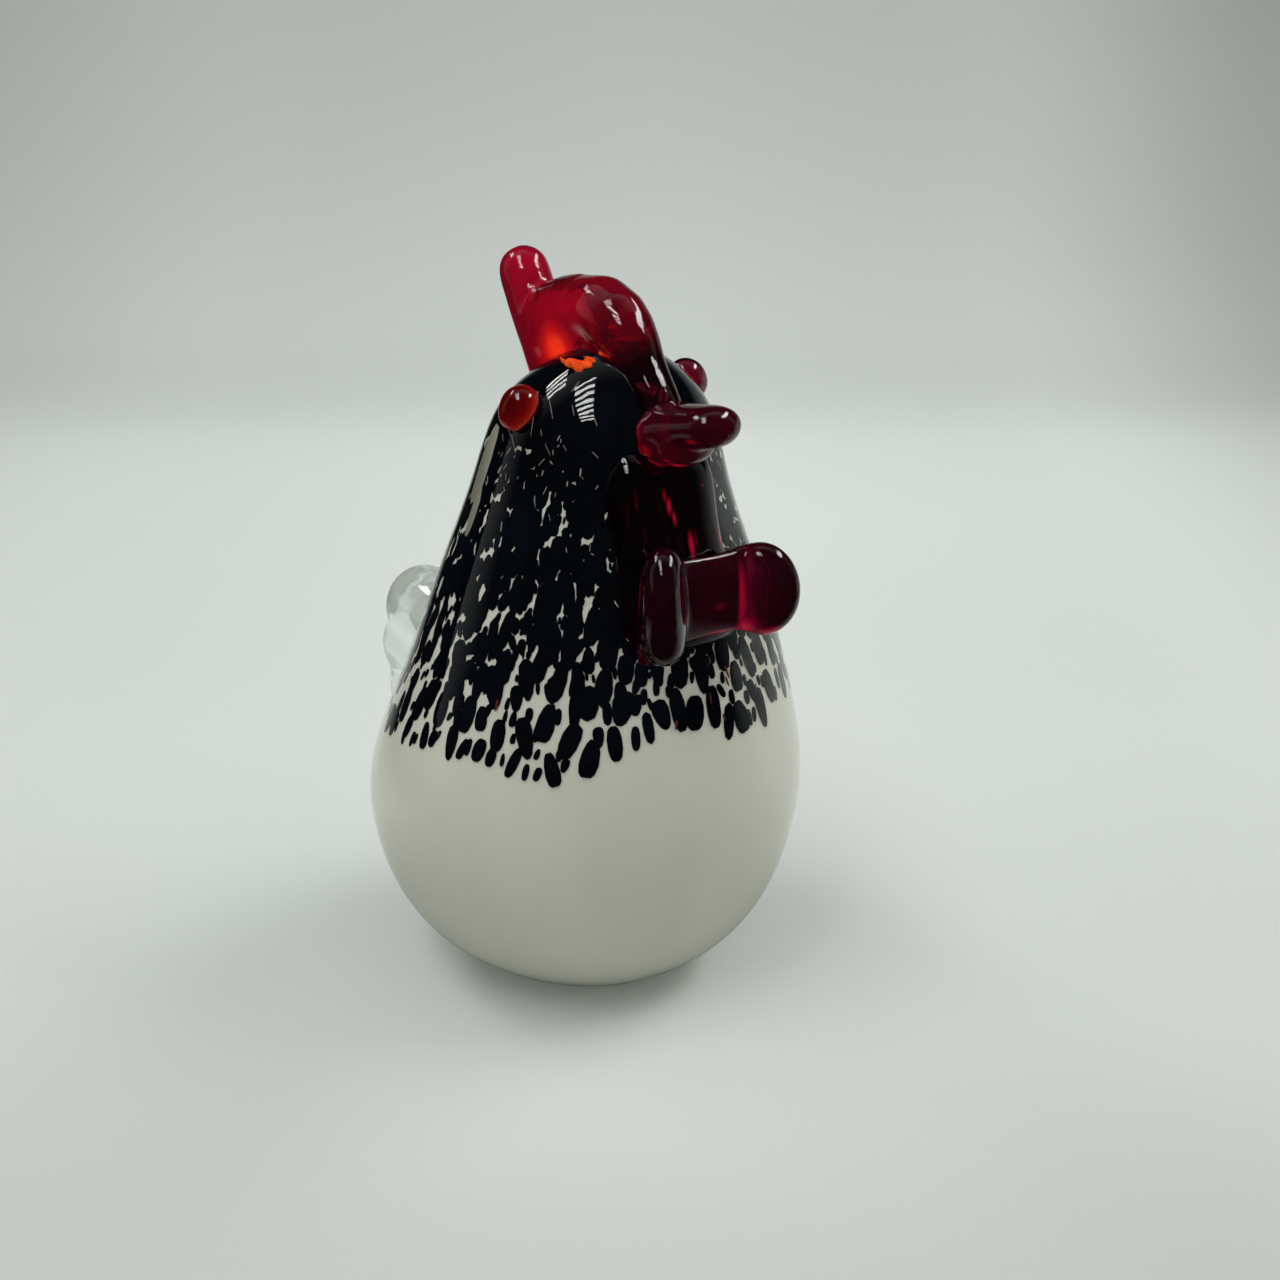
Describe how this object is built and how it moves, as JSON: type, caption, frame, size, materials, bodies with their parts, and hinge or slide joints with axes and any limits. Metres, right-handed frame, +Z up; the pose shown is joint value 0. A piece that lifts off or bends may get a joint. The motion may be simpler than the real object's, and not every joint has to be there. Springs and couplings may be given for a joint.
{
  "type": "glass chicken paperweight",
  "caption": "Solid cased-glass hen paperweight: white egg body, black frit coat, ruby comb, beak, wattles and eyes, clear tail, ground flat base.",
  "frame": {"origin": "middle of the ground flat base, on the surface it stands on", "axes": "+Z up, the bird faces -Y, +X is the bird's left"},
  "size_m": [0.0758, 0.1068, 0.1243],
  "materials": {
    "opal_glass": "opaque white opal glass, glossy",
    "black_glass": "opaque black frit, melted in",
    "clear_glass": "clear, fire-polished",
    "ruby_glass": "transparent ruby, fire-polished",
    "dark_ruby_glass": "deep transparent ruby, fire-polished"
  },
  "bodies": {
    "root": {"opal_core": "opal_glass", "frit_cap": "black_glass", "frit_chip_01": "black_glass", "frit_chip_02": "black_glass", "frit_chip_03": "black_glass", "frit_chip_04": "black_glass", "frit_chip_05": "black_glass", "frit_chip_06": "black_glass", "frit_chip_07": "black_glass", "frit_chip_08": "black_glass", "frit_chip_09": "black_glass", "frit_chip_10": "black_glass", "clear_casing": "clear_glass", "comb_rear_finger": "ruby_glass", "comb_front_lobe": "ruby_glass", "beak": "dark_ruby_glass", "throat_ribbon": "dark_ruby_glass", "wattle_bridge": "dark_ruby_glass", "wattle_right": "dark_ruby_glass", "wattle_left": "dark_ruby_glass", "eye_right": "ruby_glass", "eye_left": "ruby_glass", "tail": "clear_glass"}
  },
  "joints": []
}
